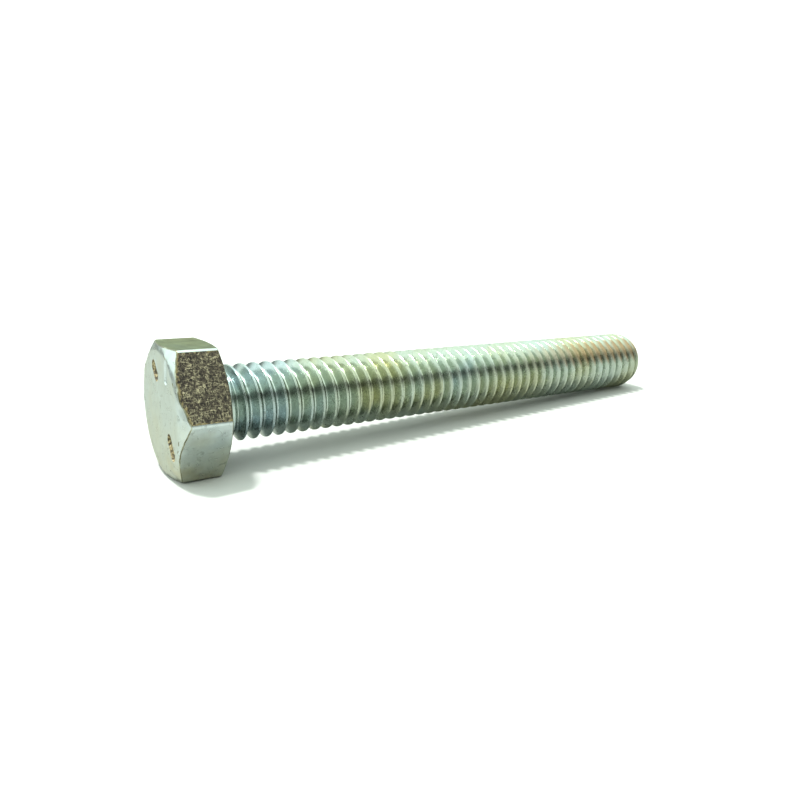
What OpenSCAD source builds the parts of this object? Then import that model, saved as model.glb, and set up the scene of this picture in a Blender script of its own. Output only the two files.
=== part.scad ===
// Fully threaded hexagon head bolt, zinc plated, 5/16 in - 18 UNC by 2 1/2 in.
// The bolt lies along X: the head is on the -X side, the point on the +X side.
// The origin is the centre of the head's bearing face, and two hexagon flats face up and down.
// The real bolt is one piece of steel. Its two formed zones are drawn as two solids that meet
// face to face: the upset head with its plain neck, and the shank with its rolled thread.

/* [Head] */
// Width across the hexagon's flats, the wrench size
across_flats = 12.7; // [12.58:0.04:12.7]
// Height of the head, from the bearing face to the end face
head_height = 5.16; // [4.9:0.02:5.36]
// Diameter of the flat end face, inside its chamfer
end_face_d = 12; // [11.4:0.1:12.3]
// Slope of the end face's chamfer
end_chamfer_angle = 33; // [15:1:35]
// Outer diameter of the flat bearing face, inside its chamfer
bearing_face_d = 11.4; // [11.2:0.1:12.5]
// Slope of the chamfer round the bearing face
bearing_chamfer_angle = 18; // [10:1:30]

/* [Neck] */
// Diameter of the plain neck, the rolled blank's own diameter
neck_d = 7.02; // [6.94:0.02:7.1]
// Length of the plain neck, from the bearing face to the start of the thread
neck_length = 0.8; // [0.8:0.1:1.6]
// Radius of the fillet under the head
fillet_r = 0.5; // [0.48:0.02:0.6]

/* [Thread] */
// Diameter over the thread's crests
major_d = 7.9; // [7.7:0.05:7.9]
// Diameter at the thread's roots
minor_d = 6.18; // [6.0:0.02:6.3]
// Number of threads in an inch
threads_per_inch = 18; // [16:1:20]
// Length under the head, to the end of the point
shank_length = 63.5; // [38.1:3.175:69.85]
// Length over which the thread grows from the neck to its full depth
run_out = 0.8; // [0.8:0.1:2]
// Diameter of the flat end of the point
point_d = 5.9; // [5.4:0.1:5.9]
// Slope of the point's chamfer
point_angle = 45; // [40:1:50]
// Flat segments round each turn of the thread
turn_segments = 24; // [16:4:24]

/* [Grade strokes] */
// Width of the two deep strokes
deep_stroke_w = 1.1; // [0.6:0.1:1.2]
// Depth of the two deep strokes
deep_stroke_depth = 0.3; // [0.1:0.05:0.4]
// Width of the shallow stroke
shallow_stroke_w = 1; // [0.6:0.1:1.2]
// Depth of the shallow stroke
shallow_stroke_depth = 0.12; // [0.05:0.01:0.3]

/* [Hidden] */
$fn = 96;

inch = 25.4;
pitch = inch / threads_per_inch;
corner_r = across_flats / sqrt(3);
// how far the head's turned outline runs past the hexagon's corners
outline_margin = 1;
outline_r = corner_r + outline_margin;
// how deep the neck and its fillet are rooted in the head, so that they are one solid with it
neck_root = 1;

// Each stroke runs in a straight line between two points of the end face, given as [Y, Z].
deep_strokes = [[[1.25, 4.15], [0.6, 3.4]], [[-3.0, -2.2], [-3.9, -3.35]]];
shallow_strokes = [[[-2.9, 5.0], [-2.6, 3.5]]];

// The thread's outline along the axis, as [position in pitches from the crest's middle, radius].
crest_flat = 1 / 8;
flank_run = (major_d - minor_d) / 2 * tan(30) / pitch;
outline = [
    [-crest_flat / 2, major_d / 2],
    [crest_flat / 2, major_d / 2],
    [crest_flat / 2 + flank_run, minor_d / 2],
    [1 - crest_flat / 2 - flank_run, minor_d / 2],
];
stations = len(outline);
// where the first crest stands at angle 0, in pitches from the bearing face
crest_phase = 0.03;
// a point closer than this to either end of the thread is drawn on the end itself
end_snap = 0.06;
// the thread's grid starts and ends this many turns beyond the shank
spare_turns = 2;
first_turn = -spare_turns;
turns = ceil(shank_length / pitch) + 2 * spare_turns;
steps = turns * turn_segments;

// ---- functions for the thread's surface ----

function ramp(t) = let(u = min(max(t, 0), 1)) u * u * (3 - 2 * u);

// how far along the axis a station stands, before it is held between the thread's two ends
function raw_x(step, station) =
    pitch * (first_turn + step / turn_segments + crest_phase + outline[station][0]);

function at_start(step, station) = raw_x(step, station) < neck_length + end_snap;
function at_end(step, station) = raw_x(step, station) > shank_length - end_snap;

// the radius there: the thread grows out of the neck, and the point's chamfer cuts its crests
function thread_r(x, full_r) = min(
    neck_d / 2 + (full_r - neck_d / 2) * ramp((x - neck_length) / run_out),
    point_d / 2 + (shank_length - x) * tan(point_angle));

function on_axis_line(x, r, angle) = [x, r * cos(angle), r * sin(angle)];

// the number of a grid point: the two end rings come first, and each is shared by many stations
function point_number(step, station) =
    at_start(step, station) ? step % turn_segments :
    at_end(step, station) ? turn_segments + step % turn_segments :
    2 * turn_segments + step * stations + station;

function triangle(a, b, c) = (a == b || b == c || c == a) ? [] : [[a, b, c]];

// the two triangles between a station and the next one, over one step of the turn
function patch(step, station) =
    let(
        last = station == stations - 1,
        next_step = last ? step + turn_segments : step,
        next_station = last ? 0 : station + 1,
        a = point_number(step, station),
        b = point_number(step + 1, station),
        c = point_number(next_step + 1, next_station),
        d = point_number(next_step, next_station)
    )
    concat(triangle(a, c, b), triangle(a, d, c));

// ---- sub-parts ----

// turns a shape that was drawn upwards from the bearing face so that it runs along +X
module along_x() rotate([0, 90, 0]) children();

module hexagon_blank() {
    along_x() translate([0, 0, -head_height]) rotate(30)
        cylinder(h = head_height, r = corner_r, $fn = 6);
}

// the turned outline that chamfers the hexagon's corners at both ends
module chamfer_outline() {
    end_rise = (outline_r - end_face_d / 2) * tan(end_chamfer_angle);
    bearing_drop = (outline_r - bearing_face_d / 2) * tan(bearing_chamfer_angle);
    along_x() rotate_extrude() polygon([
        [0, -head_height],
        [end_face_d / 2, -head_height],
        [outline_r, end_rise - head_height],
        [outline_r, -bearing_drop],
        [bearing_face_d / 2, 0],
        [0, 0],
    ]);
}

module neck_with_fillet() {
    foot_r = neck_d / 2 + fillet_r;
    along_x() rotate_extrude() {
        translate([0, -neck_root]) square([neck_d / 2, neck_root + neck_length]);
        difference() {
            translate([0, -neck_root]) square([foot_r, neck_root + fillet_r]);
            translate([foot_r, fillet_r]) circle(r = fillet_r);
        }
    }
}

// a round-ended groove in the end face, between two points given as [Y, Z]
module stroke(ends, w, depth) {
    run = ends[1] - ends[0];
    length = norm(run);
    direction = atan2(run[1], run[0]);
    translate([-head_height, ends[0][0], ends[0][1]]) rotate([direction, 0, 0]) rotate([90, 0, 90])
        translate([0, 0, -depth]) linear_extrude(2 * depth) {
            translate([0, -w / 2]) square([length, w]);
            circle(d = w);
            translate([length, 0]) circle(d = w);
        }
}

module hex_head() {
    color("lightsteelblue") union() {
        difference() {
            intersection() {
                hexagon_blank();
                chamfer_outline();
            }
            for (ends = deep_strokes) stroke(ends, deep_stroke_w, deep_stroke_depth);
            for (ends = shallow_strokes) stroke(ends, shallow_stroke_w, shallow_stroke_depth);
        }
        neck_with_fillet();
    }
}

module threaded_shank() {
    ring_angles = [for (k = [0 : turn_segments - 1]) 360 * k / turn_segments];
    start_ring = [for (a = ring_angles) on_axis_line(neck_length, neck_d / 2, a)];
    end_ring = [for (a = ring_angles) on_axis_line(shank_length, point_d / 2, a)];
    grid = [
        for (step = [0 : steps - 1], station = [0 : stations - 1])
            let(x = min(max(raw_x(step, station), neck_length), shank_length))
                on_axis_line(x, thread_r(x, outline[station][1]), 360 * step / turn_segments)
    ];
    sides = [
        for (step = [0 : steps - turn_segments - 2], station = [0 : stations - 1])
            each patch(step, station)
    ];
    start_cap = [[for (k = [0 : turn_segments - 1]) k]];
    end_cap = [[for (k = [turn_segments - 1 : -1 : 0]) turn_segments + k]];
    color("powderblue") polyhedron(
        points = concat(start_ring, end_ring, grid),
        faces = concat(sides, start_cap, end_cap));
}

hex_head();
threaded_shank();
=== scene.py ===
# %% [markdown]
# # A zinc-plated hex bolt
# A bolt is one piece of steel wire. Its head is upset and trimmed to a hexagon, its thread is
# rolled on, and then the whole piece is plated with zinc. Here it is made in the same order:
# a turned blank, the hexagon trimmed from it, the strokes struck in its end face, the rolled
# thread, and last of all the plating.
#
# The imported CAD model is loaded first, as the frame. It gives every size that matters.

# %% Load the frame
import math

import bpy
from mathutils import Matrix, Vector


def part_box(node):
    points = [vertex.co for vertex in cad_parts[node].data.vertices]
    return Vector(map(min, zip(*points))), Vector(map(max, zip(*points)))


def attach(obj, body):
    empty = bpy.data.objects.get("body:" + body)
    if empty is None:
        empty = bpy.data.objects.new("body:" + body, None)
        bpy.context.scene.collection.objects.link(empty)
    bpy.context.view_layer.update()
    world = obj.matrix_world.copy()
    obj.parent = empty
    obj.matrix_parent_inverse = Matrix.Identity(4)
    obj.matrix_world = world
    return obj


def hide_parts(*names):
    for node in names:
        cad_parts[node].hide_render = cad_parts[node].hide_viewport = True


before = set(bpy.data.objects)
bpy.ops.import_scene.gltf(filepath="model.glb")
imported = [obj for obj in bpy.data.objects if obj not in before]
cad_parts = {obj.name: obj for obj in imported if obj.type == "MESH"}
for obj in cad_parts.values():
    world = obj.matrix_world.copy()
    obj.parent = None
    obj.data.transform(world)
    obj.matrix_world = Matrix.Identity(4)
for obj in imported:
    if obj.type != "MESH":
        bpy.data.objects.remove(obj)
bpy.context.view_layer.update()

# %% [markdown]
# ## Sizes
# The frame's boxes give the head's height, the width across its flats and the shank's length.
# The rest are the bolt's own sizes. They are written in millimetres and multiplied by MM,
# because Blender's unit is the metre. The bolt lies along X, with its head at -X and the
# bearing face, which is the underside of the head, at X = 0.

# %% Sizes
MM = 0.001
head_low, head_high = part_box("hex_head")
shank_low, shank_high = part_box("threaded_shank")

HEAD_HEIGHT = -head_low.x
ACROSS_FLATS = head_high.z - head_low.z
CORNER_R = ACROSS_FLATS / math.sqrt(3)
NECK_END = shank_low.x
POINT_END = shank_high.x
CREST_R = shank_high.z
THREADS_PER_INCH = 18
PITCH = 25.4 / THREADS_PER_INCH * MM
NECK_R = 3.51 * MM
print(f"head {HEAD_HEIGHT / MM:.2f} high and {ACROSS_FLATS / MM:.2f} across flats,",
      f"thread {2 * CREST_R / MM:.2f} over the crests, {POINT_END / MM:.1f} long, in mm")

# %% [markdown]
# ## Helpers for modelling
# An operator acts on whatever is selected, so each helper first chooses one object.
# draw_outline draws half of a turned shape as one does by hand: a single vertex, extruded from
# point to point. Each point is given in millimetres, along the axis and out from it. spin_round
# then turns the outline round the axis, as a lathe would.

# %% Helpers for modelling
def choose(piece):
    bpy.ops.object.select_all(action="DESELECT")
    piece.select_set(True)
    bpy.context.view_layer.objects.active = piece


def select_faces(piece, wanted):
    """Goes to edit mode with the faces selected that wanted(centre in mm, normal) picks."""
    choose(piece)
    bpy.ops.object.mode_set(mode="EDIT")
    bpy.ops.mesh.select_mode(type="FACE")
    bpy.ops.mesh.select_all(action="DESELECT")
    bpy.ops.object.mode_set(mode="OBJECT")
    for face in piece.data.polygons:
        face.select = wanted(face.center / MM, face.normal)
    bpy.ops.object.mode_set(mode="EDIT")


def draw_outline(name, points):
    bpy.ops.object.select_all(action="DESELECT")
    bpy.ops.mesh.primitive_plane_add(size=MM)
    piece = bpy.context.object
    piece.name = piece.data.name = name
    bpy.ops.object.mode_set(mode="EDIT")
    bpy.ops.mesh.merge(type="CENTER")
    bpy.ops.mesh.select_mode(type="VERT")
    bpy.ops.mesh.select_all(action="SELECT")
    here = Vector((0, 0, 0))
    for number, (x, r) in enumerate(points):
        step = Vector((x, r, 0)) * MM - here
        if number == 0:
            bpy.ops.transform.translate(value=step)
        else:
            bpy.ops.mesh.extrude_region_move(TRANSFORM_OT_translate={"value": step})
        here += step
    bpy.ops.object.mode_set(mode="OBJECT")
    return piece


def close_up(piece):
    """Merges doubled vertices and turns every face outwards."""
    choose(piece)
    bpy.ops.object.mode_set(mode="EDIT")
    bpy.ops.mesh.select_all(action="SELECT")
    bpy.ops.mesh.remove_doubles(threshold=0.002 * MM)
    bpy.ops.mesh.normals_make_consistent(inside=False)
    bpy.ops.object.mode_set(mode="OBJECT")


def spin_round(piece, steps):
    """Turns an outline all the way round the bolt's axis, and closes it up."""
    choose(piece)
    bpy.ops.object.mode_set(mode="EDIT")
    bpy.ops.mesh.select_all(action="SELECT")
    bpy.ops.mesh.spin(steps=steps, angle=2 * math.pi, center=(0, 0, 0), axis=(1, 0, 0))
    bpy.ops.object.mode_set(mode="OBJECT")
    close_up(piece)


def apply_modifier(piece, kind, **settings):
    choose(piece)
    modifier = piece.modifiers.new(kind.title(), kind)
    for setting, value in settings.items():
        setattr(modifier, setting, value)
    bpy.ops.object.modifier_apply(modifier=modifier.name)


def cut_with(piece, cutter, operation):
    apply_modifier(piece, "BOOLEAN", object=cutter, operation=operation, solver="EXACT",
                   material_mode="INDEX")
    bpy.data.objects.remove(cutter)


def say_size(piece):
    low, high = (Vector(piece.bound_box[i]) / MM for i in (0, 6))
    print(f"{piece.name}: {len(piece.data.polygons)} faces, from",
          [round(v, 3) for v in low], "to", [round(v, 3) for v in high], "mm")

# %% [markdown]
# ## Helpers for materials
# A colour is written as the hex value that a colour picker shows, and linear turns it into the
# linear numbers that a shader works with. add_node adds one node with its settings, and fills
# its sockets: a plain value is typed in, and a node or a socket is linked in. A pattern's
# size is given in millimetres, because a texture's Scale is the number of grains in a metre.

# %% Helpers for materials
def linear(hex_colour):
    channels = [int(hex_colour[i:i + 2], 16) / 255 for i in (1, 3, 5)]
    return tuple(c / 12.92 if c <= 0.04045 else ((c + 0.055) / 1.055) ** 2.4
                 for c in channels) + (1.0,)


def first_output(node):
    return next(socket for socket in node.outputs if socket.enabled)


def add_node(tree, kind, inputs=None, **settings):
    node = tree.nodes.new(kind)
    for setting, value in settings.items():
        setattr(node, setting, value)
    for name, value in (inputs or {}).items():
        usable = [socket for socket in node.inputs if socket.enabled]
        socket = usable[name] if isinstance(name, int) else usable[
            [s.name for s in usable].index(name)]
        if isinstance(value, bpy.types.Node):
            value = first_output(value)
        if isinstance(value, bpy.types.NodeSocket):
            tree.links.new(value, socket)
        elif isinstance(value, str):
            socket.default_value = linear(value)
        else:
            socket.default_value = value
    return node


def grain(size_mm):
    return 1 / (size_mm * MM)


def start_material(name):
    """An empty material, its node tree and the Object coordinates in it."""
    material = bpy.data.materials.new(name)
    material.use_nodes = True
    tree = material.node_tree
    tree.nodes.clear()
    return material, tree, add_node(tree, "ShaderNodeTexCoord").outputs["Object"]

# %% [markdown]
# ## The head
# The maker upsets the end of the wire into a round blank and then trims its sides off, which
# leaves the hexagon with curved chamfers where the round outline still shows. A cylinder with
# six sides would have no chamfers, and bevelled corners would be straight. So the blank is spun
# from its outline, a hexagonal bar with softened corners is made next to it, and what both
# have in common is the head. The bar misses the fillet and the neck, which are slimmer. The end
# face turns into its chamfer through a soft bend, as a struck face does, and not at a line.

# %% Turned blank
END_FACE_R, BEARING_R, FILLET_R, BLANK_R = 6.0, 5.7, 0.5, 8.3
END_ANGLE, BEARING_ANGLE = math.radians(33), math.radians(18)
END_SOFTNESS = 0.35
BEND_STEPS, FILLET_STEPS = 5, 8
head_mm, neck_mm, neck_end_mm = HEAD_HEIGHT / MM, NECK_R / MM, NECK_END / MM

blank_outline = [(-head_mm, 0)]
bend_r = END_SOFTNESS / math.tan(END_ANGLE / 2)
for step in range(BEND_STEPS + 1):
    turn = END_ANGLE * step / BEND_STEPS
    blank_outline.append((-head_mm + bend_r * (1 - math.cos(turn)),
                          END_FACE_R - END_SOFTNESS + bend_r * math.sin(turn)))
blank_outline += [
    (-head_mm + (BLANK_R - END_FACE_R) * math.tan(END_ANGLE), BLANK_R),
    (-(BLANK_R - BEARING_R) * math.tan(BEARING_ANGLE), BLANK_R),
    (0, BEARING_R),
]
for step in range(FILLET_STEPS + 1):
    turn = math.radians(90 * step / FILLET_STEPS)
    blank_outline.append((FILLET_R * (1 - math.cos(turn)),
                          neck_mm + FILLET_R * (1 - math.sin(turn))))
blank_outline += [(neck_end_mm, neck_mm), (neck_end_mm, 0)]

head = draw_outline("bolt_head", blank_outline)
spin_round(head, steps=192)
say_size(head)

# %% Hexagonal bar
CORNER_ROUND = 0.2 * MM

bpy.ops.object.select_all(action="DESELECT")
bpy.ops.mesh.primitive_cylinder_add(vertices=6, radius=CORNER_R, depth=3 * HEAD_HEIGHT,
                                    location=(-HEAD_HEIGHT / 2, 0, 0),
                                    rotation=(0, math.pi / 2, 0))
bar = bpy.context.object
bpy.ops.object.transform_apply(location=True, rotation=True, scale=True)
bpy.ops.object.mode_set(mode="EDIT")
bpy.ops.mesh.select_mode(type="EDGE")
bpy.ops.mesh.select_all(action="DESELECT")
bpy.ops.object.mode_set(mode="OBJECT")
for edge in bar.data.edges:
    ends = [bar.data.vertices[v].co for v in edge.vertices]
    edge.select = abs(ends[0].x - ends[1].x) > HEAD_HEIGHT
bpy.ops.object.mode_set(mode="EDIT")
bpy.ops.mesh.bevel(offset=CORNER_ROUND, segments=4)
bpy.ops.object.mode_set(mode="OBJECT")
cut_with(head, bar, "INTERSECT")
close_up(head)
say_size(head)

# %% [markdown]
# ## The worn rim
# Trimming tears the metal a little, so the line where a flat meets the chamfer wanders by a
# tenth of a millimetre and is not the clean arc of a drawing. The vertices on that line are put
# in a group, and Displace shifts only them, along the bolt, so that the flats stay flat.

# %% Worn rim
RIM_WANDER = 0.22
OUTSIDE_END_FACE = (END_FACE_R + 0.05) * MM

rim = head.vertex_groups.new(name="rim")
for vertex in head.data.vertices:
    out = math.hypot(vertex.co.y, vertex.co.z)
    if vertex.co.x < -HEAD_HEIGHT / 2 and out > OUTSIDE_END_FACE:
        rim.add([vertex.index], 1, "REPLACE")
tears = bpy.data.textures.new("rim_tears", "CLOUDS")
tears.noise_scale = 0.8 * MM
apply_modifier(head, "DISPLACE", texture=tears, texture_coords="LOCAL", direction="X",
               strength=RIM_WANDER * MM, mid_level=0.5, vertex_group="rim")
head.vertex_groups.clear()
bpy.data.textures.remove(tears)

# %% [markdown]
# ## Softened edges
# No forged edge is sharp, and it is the thin rounded edge that catches the light. Every edge
# that turns by more than 25 degrees is bevelled, apart from the joint with the thread, which
# isn't an edge on the real bolt. The bevel's faces get a material slot of their own, because
# the plating wears first there.

# %% Softened edges
EDGE_ROUND = 0.07 * MM
SHARP = math.radians(25)
# the slot for the top flat holds a darker olive plate, which is painted shade
SLOTS = PLATE, DARK_FLAT, RESIDUE_AND_SHADE, RUBBED_EDGE, THREAD_PLATE, SHADED_TOP_FLAT = range(6)

for slot in SLOTS:
    head.data.materials.append(None)
choose(head)
bpy.ops.object.mode_set(mode="EDIT")
bpy.ops.mesh.select_mode(type="EDGE")
bpy.ops.mesh.select_all(action="DESELECT")
bpy.ops.mesh.edges_select_sharp(sharpness=SHARP)
bpy.ops.object.mode_set(mode="OBJECT")
for edge in head.data.edges:
    if max(head.data.vertices[v].co.x for v in edge.vertices) > FILLET_R * MM:
        edge.select = False
bpy.ops.object.mode_set(mode="EDIT")
bpy.ops.mesh.bevel(offset=EDGE_ROUND, segments=3, material=RUBBED_EDGE, clamp_overlap=False)
bpy.ops.object.mode_set(mode="OBJECT")
close_up(head)
say_size(head)

# %% [markdown]
# ## The strokes in the end face
# The heading die leaves short strokes in the end face that say how strong the steel is. Two
# are deep and still hold some yellow residue, and one is shallow. Each is struck with a punch
# of its own, which is turned from an outline with a steep wall and a blunt tip, and then
# stretched to the stroke's length. A plain box would leave a slot with square corners.

# %% Punches for the strokes
def make_punch(start, end, width, depth):
    """A punch for one stroke between two points of the end face, each (Y, Z) in mm."""
    # the outline runs in from outside the face, down the steep wall and across the blunt tip
    run = (Vector(end) - Vector(start)) * MM
    half = width / 2
    punch = draw_outline("punch", [(-depth, 0), (-depth, half + depth), (0, half),
                                   (0.6 * depth, 0.88 * half), (depth, 0.65 * half),
                                   (depth, 0)])
    spin_round(punch, steps=32)

    # the half with y above 0 is moved along, which draws the round punch out to a stroke
    for vertex in punch.data.vertices:
        vertex.select = vertex.co.y > 0.001 * MM
    for edge in punch.data.edges:
        edge.select = all(punch.data.vertices[v].select for v in edge.vertices)
    for face in punch.data.polygons:
        face.select = all(punch.data.vertices[v].select for v in face.vertices)
    bpy.ops.object.mode_set(mode="EDIT")
    bpy.ops.transform.translate(value=(0, run.length, 0))
    bpy.ops.object.mode_set(mode="OBJECT")
    punch.rotation_euler = (math.atan2(run.y, run.x), 0, 0)
    punch.location = (-HEAD_HEIGHT, start[0] * MM, start[1] * MM)
    bpy.ops.object.transform_apply(location=True, rotation=True)
    return punch


DEEP = {"width": 1.3, "depth": 0.3}
SHALLOW = {"width": 1.0, "depth": 0.16}

for start, end, size in (((1.25, 4.15), (0.6, 3.4), DEEP), ((-3.0, -2.2), (-3.9, -3.35), DEEP),
                         ((-2.9, 5.0), (-2.6, 3.5), SHALLOW)):
    cut_with(head, make_punch(start, end, **size), "DIFFERENCE")
close_up(head)
say_size(head)

# %% [markdown]
# ## The thread
# A rolled thread has straight flanks at 60 degrees to each other, a rounded root, and crests
# where the metal has flowed up from both sides and left a fine seam between two soft lips.
# One pitch of that outline is drawn, and the Screw modifier winds it up the shank, moving one
# pitch to each turn. The winding starts and ends beyond the shank and is then cut to length.

# %% One pitch of the thread
THREAD_DEPTH = 0.86
CREST_PHASE = 0.03
TURN_STEPS = 64
SPARE_TURNS = 1
crest_mm, pitch_mm = CREST_R / MM, PITCH / MM

# half of one pitch, as (share of a pitch from the crest's middle, depth below the crest in mm)
half_crest = [(0, 0.035), (0.02, 0.012), (0.042, 0), (0.065, 0.008), (0.085, 0.035),
              (0.1, 0.075)]
half_root = [(0.35, 0.69), (0.385, 0.765), (0.425, 0.823), (0.462, 0.852),
             (0.5, THREAD_DEPTH)]
flank = [(0.1833, 0.28), (0.2667, 0.485)]
half = half_crest + flank + half_root
whole = half + [(1 - u, depth) for u, depth in reversed(half[:-1])]

thread = draw_outline("bolt_thread", [((CREST_PHASE + u - SPARE_TURNS) * pitch_mm,
                                       crest_mm - depth) for u, depth in whole])
turns = math.ceil(POINT_END / PITCH) + 2 * SPARE_TURNS
apply_modifier(thread, "SCREW", axis="X", angle=2 * math.pi, screw_offset=PITCH,
               iterations=turns, steps=TURN_STEPS, render_steps=TURN_STEPS,
               use_merge_vertices=True, merge_threshold=0.001 * MM)
close_up(thread)
say_size(thread)

# %% [markdown]
# ## Where the thread starts and ends
# The rolling dies are relieved at the head, so the grooves fade out there into the plain blank.
# The Cast modifier pulls vertices towards a cylinder, here the neck's, and a vertex group says
# by how much: all the way at the neck, and not at all 0.8 mm further on. Then the rod is
# cut off at the neck, and a turned cutter shapes the other end to a chamfered point. Rolling
# has rounded the upper part of that chamfer over, so the cutter's outline bends there.

# %% Run-out at the neck
RUN_OUT = 0.8 * MM

run_out = thread.vertex_groups.new(name="run_out")
for vertex in thread.data.vertices:
    along = min(max((vertex.co.x - NECK_END) / RUN_OUT, 0), 1)
    if along < 1:
        run_out.add([vertex.index], 1 - along * along * (3 - 2 * along), "REPLACE")
axis = bpy.data.objects.new("cast_axis", None)
axis.rotation_euler = (0, math.pi / 2, 0)
bpy.context.scene.collection.objects.link(axis)
bpy.context.view_layer.update()
apply_modifier(thread, "CAST", cast_type="CYLINDER", object=axis, use_transform=True,
               use_radius_as_size=False, size=NECK_R, factor=1, vertex_group="run_out")
bpy.data.objects.remove(axis)
thread.vertex_groups.clear()

# %% Cut to length
SAME_PLACE = 0.0002 * MM

choose(thread)
bpy.ops.object.mode_set(mode="EDIT")
bpy.ops.mesh.select_all(action="SELECT")
bpy.ops.mesh.bisect(plane_co=(NECK_END, 0, 0), plane_no=(1, 0, 0), use_fill=True,
                    clear_inner=True, threshold=SAME_PLACE)
bpy.ops.mesh.select_all(action="SELECT")
bpy.ops.mesh.bisect(plane_co=(POINT_END + 0.5 * PITCH, 0, 0), plane_no=(1, 0, 0),
                    use_fill=True, clear_outer=True, threshold=SAME_PLACE)
bpy.ops.object.mode_set(mode="OBJECT")
close_up(thread)

# %% Chamfered point
POINT_R, CUTTER_R = 2.95, 8.0
end_mm = POINT_END / MM

# wide over the thread, then the chamfer: gentle where it meets the crests, steep at its end
cutter = draw_outline("point_cutter", [
    (neck_end_mm - 1, 0), (neck_end_mm - 1, CUTTER_R), (end_mm - 2, CUTTER_R),
    (end_mm - 2, 4.2), (end_mm - 1.4, 3.92), (end_mm - 0.6, 3.52), (end_mm, POINT_R),
    (end_mm, 0)])
spin_round(cutter, steps=96)
cut_with(thread, cutter, "INTERSECT")
close_up(thread)
say_size(thread)

# %% [markdown]
# ## Zinc plate
# Electroplated zinc with a clear passivate. The zinc is bright but a little cloudy, because it
# follows the skin of the forged and rolled steel. The passivate is so thin that it shows faint
# colours: blue where it is thinnest, then green, then straw. So the colour drifts in patches
# some millimetres wide, and from one end of the piece to the other, the way the liquid ran off;
# on the head the drift runs from top to bottom and paints the reflection of the shaded card.
# A finer cloudiness lies over it and moves the roughness and the bump as well. A few winding
# dark scuffs are drawn where a noise passes through one value. A metal's colour is its
# reflection at right angles, and its IOR is left alone. Bare metal turns white at a glancing
# angle; the specular tint holds that back a little, as the film does.

# %% Zinc plate
def zinc_plate(name, films, patch_mm, cloud_mm, stretch, roughness, dent_mm, drift, scuffs,
               last_drop=0.0):
    """films holds the three tints, and drift the way it runs with where it starts and ends."""
    material, tree, place = start_material(name)
    thin, middle, thick = films
    way, start_mm, end_mm = drift

    # the film is thicker in patches and towards one end, and its colour follows its thickness
    patches = add_node(tree, "ShaderNodeTexNoise",
                       {"Vector": place, "Scale": grain(patch_mm), "Detail": 3.0})
    along = add_node(tree, "ShaderNodeVectorMath", {0: place, 1: way},
                     operation="DOT_PRODUCT").outputs["Value"]
    drifted = add_node(tree, "ShaderNodeMapRange",
                       {"Value": along, "From Min": start_mm * MM, "From Max": end_mm * MM,
                        "To Min": 0.06, "To Max": 0.26}, interpolation_type="SMOOTHSTEP")
    thickness = add_node(tree, "ShaderNodeMath", {0: patches, 1: 0.6, 2: drifted},
                         operation="MULTIPLY_ADD")
    to_middle = add_node(tree, "ShaderNodeMapRange",
                         {"Value": thickness, "From Min": 0.34, "From Max": 0.5})
    to_thick = add_node(tree, "ShaderNodeMapRange",
                        {"Value": thickness, "From Min": 0.52, "From Max": 0.68})
    film = add_node(tree, "ShaderNodeMix", {"Factor": to_middle, "A": thin, "B": middle},
                    data_type="RGBA")
    film = add_node(tree, "ShaderNodeMix", {"Factor": to_thick, "A": film, "B": thick},
                    data_type="RGBA")

    # the last drop ran down one side to the end and dried there, which left a golden streak
    near_end = add_node(tree, "ShaderNodeMapRange",
                        {"Value": along, "From Min": 36 * MM, "From Max": 54 * MM,
                         "To Max": last_drop}, interpolation_type="SMOOTHSTEP")
    sideways = add_node(tree, "ShaderNodeVectorMath", {0: place, 1: (0, -0.77, 0.64)},
                        operation="DOT_PRODUCT").outputs["Value"]
    on_side = add_node(tree, "ShaderNodeMapRange",
                       {"Value": sideways, "From Min": 3.2 * MM, "From Max": 3.8 * MM},
                       interpolation_type="SMOOTHSTEP")
    streak = add_node(tree, "ShaderNodeMath", {0: near_end, 1: on_side}, operation="MULTIPLY")
    film = add_node(tree, "ShaderNodeMix", {"Factor": streak, "A": film, "B": "#937650"},
                    data_type="RGBA")

    # fine clouds make the plate lighter and darker
    stretched = add_node(tree, "ShaderNodeVectorMath", {0: place, 1: stretch},
                         operation="MULTIPLY")
    clouds = add_node(tree, "ShaderNodeTexNoise",
                      {"Vector": stretched, "Scale": grain(cloud_mm), "Detail": 4.0,
                       "Roughness": 0.55})
    shade = add_node(tree, "ShaderNodeMapRange",
                     {"Value": clouds, "From Min": 0.25, "From Max": 0.75,
                      "To Min": 0.86, "To Max": 1.1})
    colour = add_node(tree, "ShaderNodeVectorMath", {0: film, "Scale": shade},
                      operation="SCALE")

    # the scuffs follow the line where a noise is a half, and only where the plate is worn
    winding = add_node(tree, "ShaderNodeTexNoise",
                       {"Vector": place, "Scale": grain(2.4), "Detail": 5.0})
    on_line = add_node(tree, "ShaderNodeMath", {0: winding, 1: 0.5, 2: 0.012},
                       operation="COMPARE")
    worn = add_node(tree, "ShaderNodeMapRange",
                    {"Value": clouds, "From Min": 0.48, "From Max": 0.62, "To Max": scuffs})
    scuffed = add_node(tree, "ShaderNodeMath", {0: on_line, 1: worn}, operation="MULTIPLY")
    colour = add_node(tree, "ShaderNodeMix", {"Factor": scuffed, "A": colour, "B": "#4C4D40"},
                      data_type="RGBA")

    rough = add_node(tree, "ShaderNodeMapRange",
                     {"Value": clouds, "From Min": 0.3, "From Max": 0.7,
                      "To Min": roughness[0], "To Max": roughness[1]})
    dents = add_node(tree, "ShaderNodeBump",
                     {"Height": clouds, "Strength": 1.0, "Distance": dent_mm * MM})
    shader = add_node(tree, "ShaderNodeBsdfPrincipled",
                      {"Base Color": colour, "Metallic": 1.0, "Roughness": rough,
                       "Specular Tint": "#D6D4CA", "Normal": dents})
    add_node(tree, "ShaderNodeOutputMaterial", {"Surface": shader})
    print(f"{name}: {len(tree.nodes)} nodes, clouds of {cloud_mm} mm")
    return material
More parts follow.
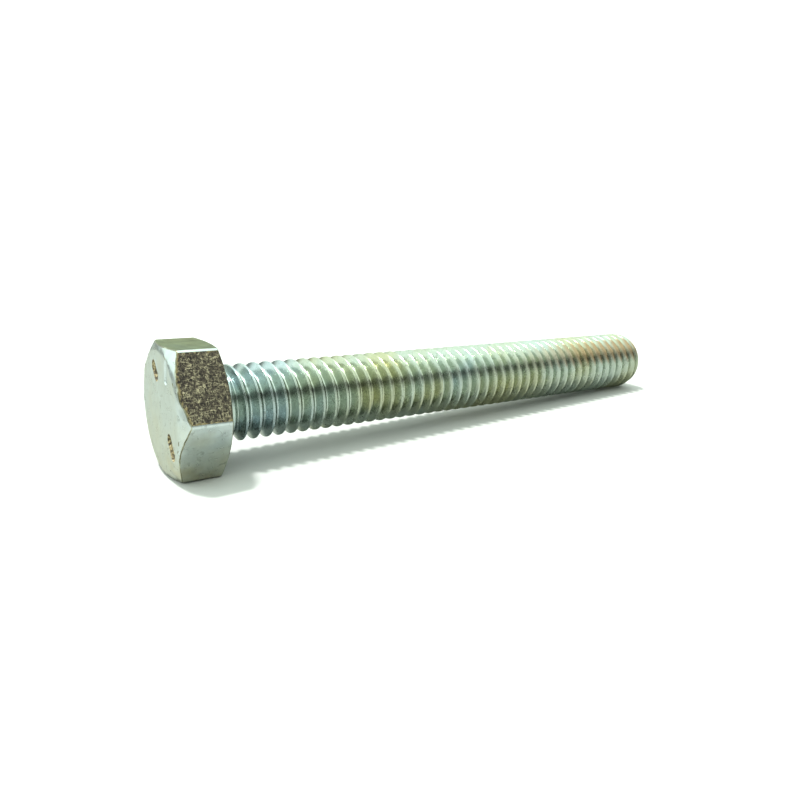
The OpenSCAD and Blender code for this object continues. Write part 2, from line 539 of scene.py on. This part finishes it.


# the head is bluest at its top and turns olive towards its lower edge, a painted reflection of
# the shaded card below it
head_zinc = zinc_plate("zinc_plate_on_forged_steel", ("#BAC4C2", "#BAC0B6", "#B2AE92"),
                       patch_mm=4.0, cloud_mm=0.9, stretch=(1, 1, 1), roughness=(0.26, 0.36),
                       dent_mm=0.006, drift=((0, 0, -1), -1, 6), scuffs=0.38)
# the top flat is darker and olive all over: painted shade for the dim room that this flat
# reflects
top_flat_zinc_and_shade = zinc_plate("zinc_plate_with_painted_shade_on_top_flat", ("#88957E", "#8C9779", "#94997A"),
                        patch_mm=3.0, cloud_mm=0.9, stretch=(1, 1, 1), roughness=(0.3, 0.4),
                        dent_mm=0.006, drift=((0, 1, 0), -4, 4), scuffs=0.3)
# the rolled skin is drawn out round the shank, so its clouds are three times as long that way
thread_zinc = zinc_plate("zinc_plate_on_rolled_thread", ("#A6B6B9", "#A6B1A4", "#A6A98A"),
                         patch_mm=6.0, cloud_mm=1.2, stretch=(3, 1, 1), roughness=(0.2, 0.3),
                         dent_mm=0.004, drift=((1, 0, 0), 5, 14), scuffs=0.4,
                         last_drop=0.8)

# %% [markdown]
# ## The dark flat
# One flat was torn as it was trimmed, and the plating took badly on it. It is nearly black and
# rough, speckled at a fifth of a millimetre, with fine pale lines where the zinc took along the
# marks of the tool, across the head and along it. It turns golden towards its rim. The speckle
# is fractal noise. The lines are where a stretched noise passes through one value, once
# stretched each way, and a third noise breaks them up.

# %% Dark flat
def tool_marks(tree, place, stretch):
    """Fine broken lines, as 0 to 1, that run the way in which stretch is small."""
    drawn = add_node(tree, "ShaderNodeVectorMath", {0: place, 1: stretch},
                     operation="MULTIPLY")
    waves = add_node(tree, "ShaderNodeTexNoise", {"Vector": drawn, "Scale": grain(0.28),
                                                  "Detail": 3.0, "Roughness": 0.6})
    return add_node(tree, "ShaderNodeMath", {0: waves, 1: 0.5, 2: 0.016},
                    operation="COMPARE")


def torn_flat(name):
    material, tree, place = start_material(name)

    # the speckle, and the pale marks, which are kept only where breaks is high
    speckle = add_node(tree, "ShaderNodeTexNoise",
                       {"Vector": place, "Scale": grain(0.2), "Detail": 5.0,
                        "Roughness": 0.85})
    breaks = add_node(tree, "ShaderNodeTexNoise", {"Vector": place, "Scale": grain(0.35),
                                                   "Detail": 2.0})
    kept = add_node(tree, "ShaderNodeMapRange", {"Value": breaks, "From Min": 0.38,
                                                 "From Max": 0.6})
    marks = add_node(tree, "ShaderNodeMath", {0: tool_marks(tree, place, (1, 0.2, 0.2)),
                                              1: tool_marks(tree, place, (0.2, 1, 1))},
                     operation="MAXIMUM")
    marks = add_node(tree, "ShaderNodeMath", {0: marks, 1: kept}, operation="MULTIPLY")

    ramp = add_node(tree, "ShaderNodeValToRGB", {"Fac": speckle})
    ramp.color_ramp.elements[0].position = 0.36
    ramp.color_ramp.elements[0].color = linear("#171514")
    ramp.color_ramp.elements[1].position = 0.72
    ramp.color_ramp.elements[1].color = linear("#837C62")
    ramp.color_ramp.elements.new(0.47).color = linear("#302C27")
    ramp.color_ramp.elements.new(0.57).color = linear("#50493C")
    ground = add_node(tree, "ShaderNodeMix", {"Factor": marks, "A": ramp, "B": "#A9A283"},
                      data_type="RGBA")

    # how far in from the flat's two long edges, and from the rim of the chamfer, in metres
    split = add_node(tree, "ShaderNodeSeparateXYZ", {"Vector": place})
    out = add_node(tree, "ShaderNodeVectorMath", {0: place, 1: (0, 1, 1)},
                   operation="MULTIPLY")
    out = add_node(tree, "ShaderNodeVectorMath", {0: out},
                   operation="LENGTH").outputs["Value"]
    rim_x = add_node(tree, "ShaderNodeMath",
                     {0: out, 1: math.tan(END_ANGLE),
                      2: -END_FACE_R * MM * math.tan(END_ANGLE) - HEAD_HEIGHT},
                     operation="MULTIPLY_ADD")
    from_rim = add_node(tree, "ShaderNodeMath", {0: split.outputs["X"], 1: rim_x},
                        operation="SUBTRACT")
    from_top = add_node(tree, "ShaderNodeMath", {0: ACROSS_FLATS / 2,
                                                 1: split.outputs["Z"]}, operation="SUBTRACT")
    nearest = add_node(tree, "ShaderNodeMath", {0: from_top, 1: split.outputs["Z"]},
                       operation="MINIMUM")
    nearest = add_node(tree, "ShaderNodeMath", {0: nearest, 1: from_rim},
                       operation="MINIMUM")

    # the golden rim is about half a millimetre wide, with a ragged inner edge
    ragged = add_node(tree, "ShaderNodeMath", {0: breaks, 1: -1.2 * MM, 2: nearest},
                      operation="MULTIPLY_ADD")
    gilt = add_node(tree, "ShaderNodeMapRange",
                    {"Value": ragged, "From Min": -0.52 * MM, "From Max": -0.34 * MM,
                     "To Min": 0.7, "To Max": 0.0}, interpolation_type="SMOOTHSTEP")
    colour = add_node(tree, "ShaderNodeMix", {"Factor": gilt, "A": ground, "B": "#8E8158"},
                      data_type="RGBA")

    rough = add_node(tree, "ShaderNodeMapRange", {"Value": speckle, "From Min": 0.35,
                                                  "From Max": 0.65, "To Min": 0.6,
                                                  "To Max": 0.4})
    relief = add_node(tree, "ShaderNodeMath", {0: marks, 1: speckle}, operation="ADD")
    torn = add_node(tree, "ShaderNodeBump", {"Height": relief, "Strength": 1.0,
                                             "Distance": 0.04 * MM})
    shader = add_node(tree, "ShaderNodeBsdfPrincipled",
                      {"Base Color": colour, "Metallic": 0.75, "Roughness": rough,
                       "Normal": torn})
    add_node(tree, "ShaderNodeOutputMaterial", {"Surface": shader})
    print(f"{name}: {len(tree.nodes)} nodes")
    return material


dark_flat = torn_flat("dark_zinc_on_torn_steel")

# %% [markdown]
# ## Rubbed edges and residue
# Edges rub on everything, so the zinc is thin there and the passivate has gone: they are duller
# and more olive than the faces. The residue in the deep strokes is a crumbly yellow powder over
# dark steel, and is hardly metallic at all; its tones are also darkened as painted shade inside
# the strokes.

# %% Rubbed edges and residue
def three_tone(name, size_mm, low, middle, high, metallic, roughness, relief_mm):
    material, tree, place = start_material(name)
    grains = add_node(tree, "ShaderNodeTexNoise", {"Vector": place, "Scale": grain(size_mm),
                                                   "Detail": 4.0, "Roughness": 0.6})
    ramp = add_node(tree, "ShaderNodeValToRGB", {"Fac": grains})
    ramp.color_ramp.elements[0].position = 0.36
    ramp.color_ramp.elements[0].color = linear(low)
    ramp.color_ramp.elements[1].position = 0.64
    ramp.color_ramp.elements[1].color = linear(high)
    ramp.color_ramp.elements.new(0.5).color = linear(middle)
    bumps = add_node(tree, "ShaderNodeBump", {"Height": grains, "Strength": 1.0,
                                              "Distance": relief_mm * MM})
    shader = add_node(tree, "ShaderNodeBsdfPrincipled",
                      {"Base Color": ramp, "Metallic": metallic, "Roughness": roughness,
                       "Normal": bumps})
    add_node(tree, "ShaderNodeOutputMaterial", {"Surface": shader})
    print(f"{name}: grains of {size_mm} mm, {relief_mm} mm high")
    return material


rubbed_edge = three_tone("zinc_plate_rubbed_at_edges", 1.1, "#55543F", "#7B7B66", "#A3A894",
                         metallic=1.0, roughness=0.36, relief_mm=0.004)
# the residue's tones are darkened as painted shade inside the strokes
stroke_residue_and_shade = three_tone("yellow_residue_with_painted_shade", 0.3, "#221C14", "#6E6140", "#BDB38C",
                     metallic=0.25, roughness=0.6, relief_mm=0.06)

# %% [markdown]
# ## Dressing the bolt
# The faces of the head are given their slots by place: the flat that faces forwards and up is
# the torn one, the top flat gets the darker olive plate that paints its shade, what lies just
# below the end face is the inside of a deep stroke, with its residue and painted shade, and the
# neck has the thread's plating, so that no joint shows. Smooth shading by angle keeps the true
# edges, and Weighted Normal keeps the large flats looking flat next to their narrow bevels.

# %% Dress the head
TORN_FLAT_WAY = Vector((0, -math.sin(math.radians(60)), math.cos(math.radians(60))))
SAME_WAY = 0.9995
SMOOTH_ANGLE = math.radians(40)


def in_deep_stroke(centre, normal):
    below_face = 0.02 < centre.x + head_mm < 0.6
    inside_chamfer = math.hypot(centre.y, centre.z) < END_FACE_R - 0.3
    in_shallow_stroke = centre.y < -1.5 and centre.z > 2
    return below_face and inside_chamfer and not in_shallow_stroke


for number, material in ((PLATE, head_zinc), (DARK_FLAT, dark_flat), (RESIDUE_AND_SHADE, stroke_residue_and_shade),
                         (RUBBED_EDGE, rubbed_edge), (THREAD_PLATE, thread_zinc),
                         (SHADED_TOP_FLAT, top_flat_zinc_and_shade)):
    head.data.materials[number] = material
for number, wanted in (
        (DARK_FLAT, lambda centre, normal: normal.dot(TORN_FLAT_WAY) > SAME_WAY),
        # the top flat's darker olive plate is painted shade
        (SHADED_TOP_FLAT, lambda centre, normal: normal.z > SAME_WAY),
        # the residue in the deep strokes is darkened as painted shade
        (RESIDUE_AND_SHADE, in_deep_stroke),
        (THREAD_PLATE, lambda centre, normal: centre.x > 0.02)):
    select_faces(head, wanted)
    head.active_material_index = number
    bpy.ops.object.material_slot_assign()
    bpy.ops.object.mode_set(mode="OBJECT")
choose(head)
bpy.ops.object.shade_smooth_by_angle(angle=SMOOTH_ANGLE)
apply_modifier(head, "WEIGHTED_NORMAL", keep_sharp=True)

# %% Dress the thread
thread.data.materials.clear()
thread.data.materials.append(thread_zinc)
choose(thread)
bpy.ops.object.shade_smooth_by_angle(angle=SMOOTH_ANGLE)

# %% [markdown]
# ## Floor
# The bolt lies on a sheet of matt white card. It rests on the edge of its head and on a crest
# near the point, and the head stands out further than the crests, so in the bolt's own frame
# the card rises by about two degrees towards the point.

# %% Floor
FLOOR_SIZE = 20
LAST_CREST = 62.4 * MM
rest_at_head = Vector((0, 0, -ACROSS_FLATS / 2))
rest_at_point = Vector((LAST_CREST, 0, -CREST_R))
rise = math.atan2(rest_at_point.z - rest_at_head.z, rest_at_point.x - rest_at_head.x)

card, tree, place = start_material("matt_white_card")
fibres = add_node(tree, "ShaderNodeTexNoise", {"Vector": place, "Scale": grain(0.8),
                                               "Detail": 4.0})
tone = add_node(tree, "ShaderNodeMix", {"Factor": fibres, "A": "#B9BCB8", "B": "#BEBEBA"},
                data_type="RGBA")
shader = add_node(tree, "ShaderNodeBsdfPrincipled", {"Base Color": tone, "Roughness": 0.9,
                                                     "Specular IOR Level": 0.2})
add_node(tree, "ShaderNodeOutputMaterial", {"Surface": shader})

bpy.ops.object.select_all(action="DESELECT")
bpy.ops.mesh.primitive_plane_add(size=FLOOR_SIZE, location=rest_at_head,
                                 rotation=(0, -rise, 0))
floor = bpy.context.object
floor.name = "floor_card"
floor.data.materials.append(card)
print(f"the card rises by {math.degrees(rise):.2f} degrees")

# %% [markdown]
# ## Light
# A soft light tent. Most of the light comes from a wide white panel overhead that leans back
# behind the bolt, so it shows in the tops of the threads. Below its front edge the room stays
# dim, which gives the dark band along the shank, and near the floor the tent's pale wall shows
# again, brighter in front than behind and lower beyond the point. The world draws all three by
# direction, so that the card is lit evenly however far it runs, and the camera itself sees
# plain white. The shadow comes from one key light, a sun high above the bolt, a little behind
# it and towards its head. The sun is seven degrees wide, which softens the shadow's edge.

# %% Light tent
PANEL_LIGHT, FRONT_WALL, BACK_WALL, ROOM_LIGHT, WHITE = 2.2, 1.3, 0.4, 0.12, 1.3

world = bpy.data.worlds.new("light_tent")
bpy.context.scene.world = world
world.use_nodes = True
tree = world.node_tree
tree.nodes.clear()
way = add_node(tree, "ShaderNodeTexCoord").outputs["Generated"]
lean = add_node(tree, "ShaderNodeVectorMath", {0: way, 1: (-0.2, 0.2, 1)},
                operation="DOT_PRODUCT").outputs["Value"]
panel = add_node(tree, "ShaderNodeMapRange", {"Value": lean, "From Min": 0.38,
                                              "From Max": 0.54},
                 interpolation_type="SMOOTHSTEP")
split = add_node(tree, "ShaderNodeSeparateXYZ", {"Vector": way})
wall_light = add_node(tree, "ShaderNodeMapRange",
                      {"Value": split.outputs["Y"], "From Min": -0.7, "From Max": 0.7,
                       "To Min": FRONT_WALL, "To Max": BACK_WALL})
lift = add_node(tree, "ShaderNodeMapRange",
                {"Value": split.outputs["X"], "From Min": 0.25, "From Max": 0.8,
                 "To Min": 1.0, "To Max": 1.6})
height = add_node(tree, "ShaderNodeMath", {0: split.outputs["Z"], 1: lift},
                  operation="MULTIPLY")
wall = add_node(tree, "ShaderNodeMapRange",
                {"Value": height, "From Min": 0.12, "From Max": 0.42,
                 "To Min": wall_light, "To Max": ROOM_LIGHT},
                interpolation_type="SMOOTHSTEP")
tent = add_node(tree, "ShaderNodeMix", {"Factor": panel, "A": "#E6EFE8", "B": "#F2FFF8"},
                data_type="RGBA")
power = add_node(tree, "ShaderNodeMix", {"Factor": panel, "A": wall, "B": PANEL_LIGHT},
                 data_type="FLOAT")
lit = add_node(tree, "ShaderNodeBackground", {"Color": tent, "Strength": power})
seen = add_node(tree, "ShaderNodeBackground", {"Color": "#FFFFFF", "Strength": WHITE})
straight = add_node(tree, "ShaderNodeLightPath").outputs["Is Camera Ray"]
both = add_node(tree, "ShaderNodeMixShader", {0: straight, 1: lit, 2: seen})
add_node(tree, "ShaderNodeOutputWorld", {"Surface": both})
print(f"the panel is {PANEL_LIGHT / ROOM_LIGHT:.0f} times as bright as the room below it")

# %% Key light
bpy.ops.object.select_all(action="DESELECT")
bpy.ops.object.light_add(type="SUN", rotation=(math.radians(-10), math.radians(-12), 0))
key = bpy.context.object
key.name = "key_light"
key.data.energy = 3.8
key.data.angle = math.radians(7)
bpy.context.scene.view_settings.view_transform = "Standard"

# %% [markdown]
# ## Camera
# A short lens close to the head, so that the shank shrinks away towards the point.

# %% Camera
bpy.ops.object.select_all(action="DESELECT")
bpy.ops.object.camera_add(location=Vector((-21.431, -64.342, 17.196)) * MM,
                          rotation=[math.radians(a) for a in (76.187, -1.996, -34.042)])
camera = bpy.context.object
camera.data.sensor_width = 36
camera.data.lens = 30.2
camera.data.clip_start = 0.001
camera.data.clip_end = 100
bpy.context.scene.camera = camera
print(f"the camera is {(camera.location - rest_at_head).length / MM:.0f} mm from the head")

# %% [markdown]
# ## Riding the frame
# The head and the thread each stand in for one solid of the CAD model. Both ride on the root
# body, because nothing on a bolt moves against the rest of it.

# %% Ride the frame
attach(head, "root")
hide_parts("hex_head")
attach(thread, "root")
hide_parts("threaded_shank")
